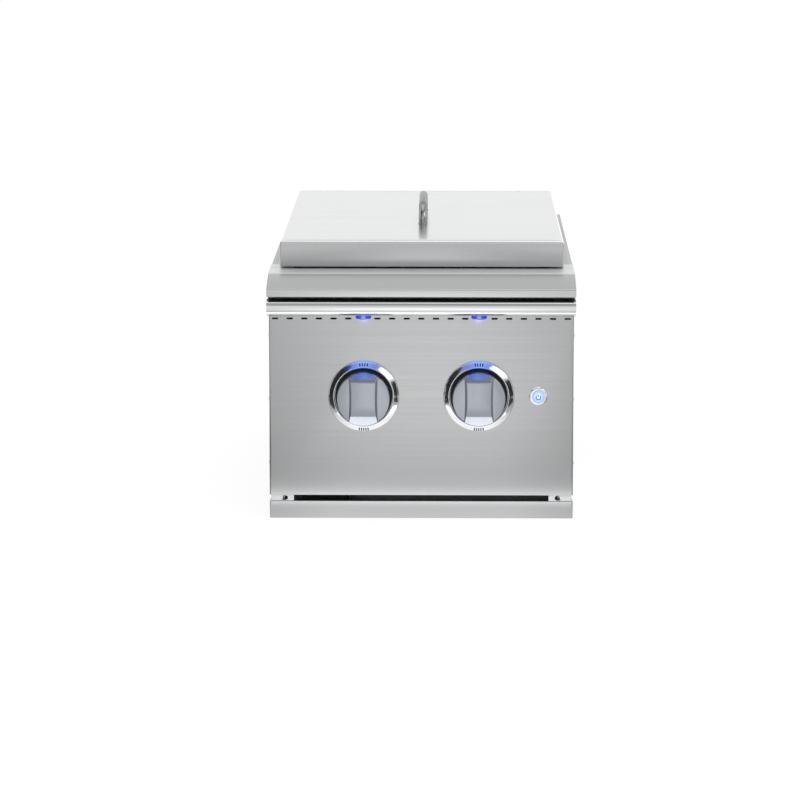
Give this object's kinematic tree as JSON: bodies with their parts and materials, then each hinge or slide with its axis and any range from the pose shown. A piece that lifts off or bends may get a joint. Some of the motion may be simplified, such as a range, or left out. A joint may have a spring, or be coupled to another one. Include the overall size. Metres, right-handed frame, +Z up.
{
  "type": "built in double side burner",
  "caption": "Narrow built-in gas side burner with a lift-off lid, burners one behind the other, push-and-turn knobs and a lit front.",
  "frame": {"origin": "under the middle of the whole, on the surface that its base rests on", "axes": "+X to the right and +Y away from a person in front of the knobs, +Z up"},
  "size_m": [0.332, 0.614, 0.321],
  "materials": {
    "brushed_steel": "brushed stainless steel",
    "polished_steel": "polished stainless steel",
    "plain_steel": "mill finish stainless steel",
    "chrome": "bright chrome plate",
    "knob_metal": "satin plate over cast metal",
    "brass": "machined brass",
    "cast_iron": "matt black enamel",
    "black_plastic": "moulded black plastic",
    "ceramic": "white glazed ceramic",
    "rubber": "dark silicone",
    "blue_lens": "lit blue lens",
    "button_lens": "lit pale blue button"
  },
  "bodies": {
    "housing": {"floor_pan": "plain_steel", "back_wall": "plain_steel", "front_baffle": "plain_steel", "left_side_wall": "plain_steel", "right_side_wall": "plain_steel", "left_rim_rail": "brushed_steel", "right_rim_rail": "brushed_steel", "rear_rim_rail": "brushed_steel", "control_panel": "brushed_steel", "bottom_rail": "brushed_steel", "left_panel_bracket": "plain_steel", "right_panel_bracket": "plain_steel", "front_nose": "polished_steel", "front_trim": "brushed_steel", "left_lamp_lens": "blue_lens", "right_lamp_lens": "blue_lens", "lamp_bar": "black_plastic", "gas_manifold": "plain_steel", "gas_feed_pipe": "plain_steel", "inlet_fitting": "brass", "manifold_clip": "plain_steel", "left_bezel": "chrome", "left_valve_spring": "plain_steel", "left_valve_body": "brass", "left_valve_bonnet": "brass", "left_orifice_jet": "brass", "right_bezel": "chrome", "right_valve_spring": "plain_steel", "right_valve_body": "brass", "right_valve_bonnet": "brass", "right_orifice_jet": "brass", "switch_body": "chrome", "switch_nut": "chrome", "spark_box": "black_plastic", "burner_deck": "polished_steel", "front_burner_tube": "plain_steel", "front_burner_head": "brass", "front_burner_cap": "cast_iron", "front_spark_electrode": "ceramic", "front_grate": "cast_iron", "rear_burner_tube": "plain_steel", "rear_burner_head": "brass", "rear_burner_cap": "cast_iron", "rear_spark_electrode": "ceramic", "rear_grate": "cast_iron"},
    "lid": {"lid_shell": "brushed_steel", "lid_handle": "polished_steel", "front_handle_screw": "plain_steel", "rear_handle_screw": "plain_steel", "front_left_bumper": "rubber", "front_right_bumper": "rubber", "rear_left_bumper": "rubber", "rear_right_bumper": "rubber"},
    "left_push": {"left_push_collar": "brass"},
    "left_dial": {"left_knob": "knob_metal", "left_valve_stem": "plain_steel"},
    "right_push": {"right_push_collar": "brass"},
    "right_dial": {"right_knob": "knob_metal", "right_valve_stem": "plain_steel"},
    "button": {"light_button": "button_lens"}
  },
  "joints": [
    {"name": "lid_lift", "type": "slide", "parent": "housing", "child": "lid", "axis": [0, 0, 1], "range_m": [0, 0.15]},
    {"name": "left_knob_push", "type": "slide", "parent": "housing", "child": "left_push", "axis": [0, 1, 0], "range_m": [0, 0.0035], "stiffness_N_per_m": 800, "deforming": ["left_valve_spring"]},
    {"name": "left_knob_turn", "type": "hinge", "parent": "left_push", "child": "left_dial", "pos_m": [-0.0623, -0.29, 0.135], "axis": [0, -1, 0], "range_deg": [0, 180]},
    {"name": "right_knob_push", "type": "slide", "parent": "housing", "child": "right_push", "axis": [0, 1, 0], "range_m": [0, 0.0035], "stiffness_N_per_m": 800, "deforming": ["right_valve_spring"]},
    {"name": "right_knob_turn", "type": "hinge", "parent": "right_push", "child": "right_dial", "pos_m": [0.0623, -0.29, 0.135], "axis": [0, -1, 0], "range_deg": [0, 180]},
    {"name": "light_button_push", "type": "slide", "parent": "housing", "child": "button", "axis": [0, 1, 0], "range_m": [0, 0.0015], "stiffness_N_per_m": 600}
  ]
}
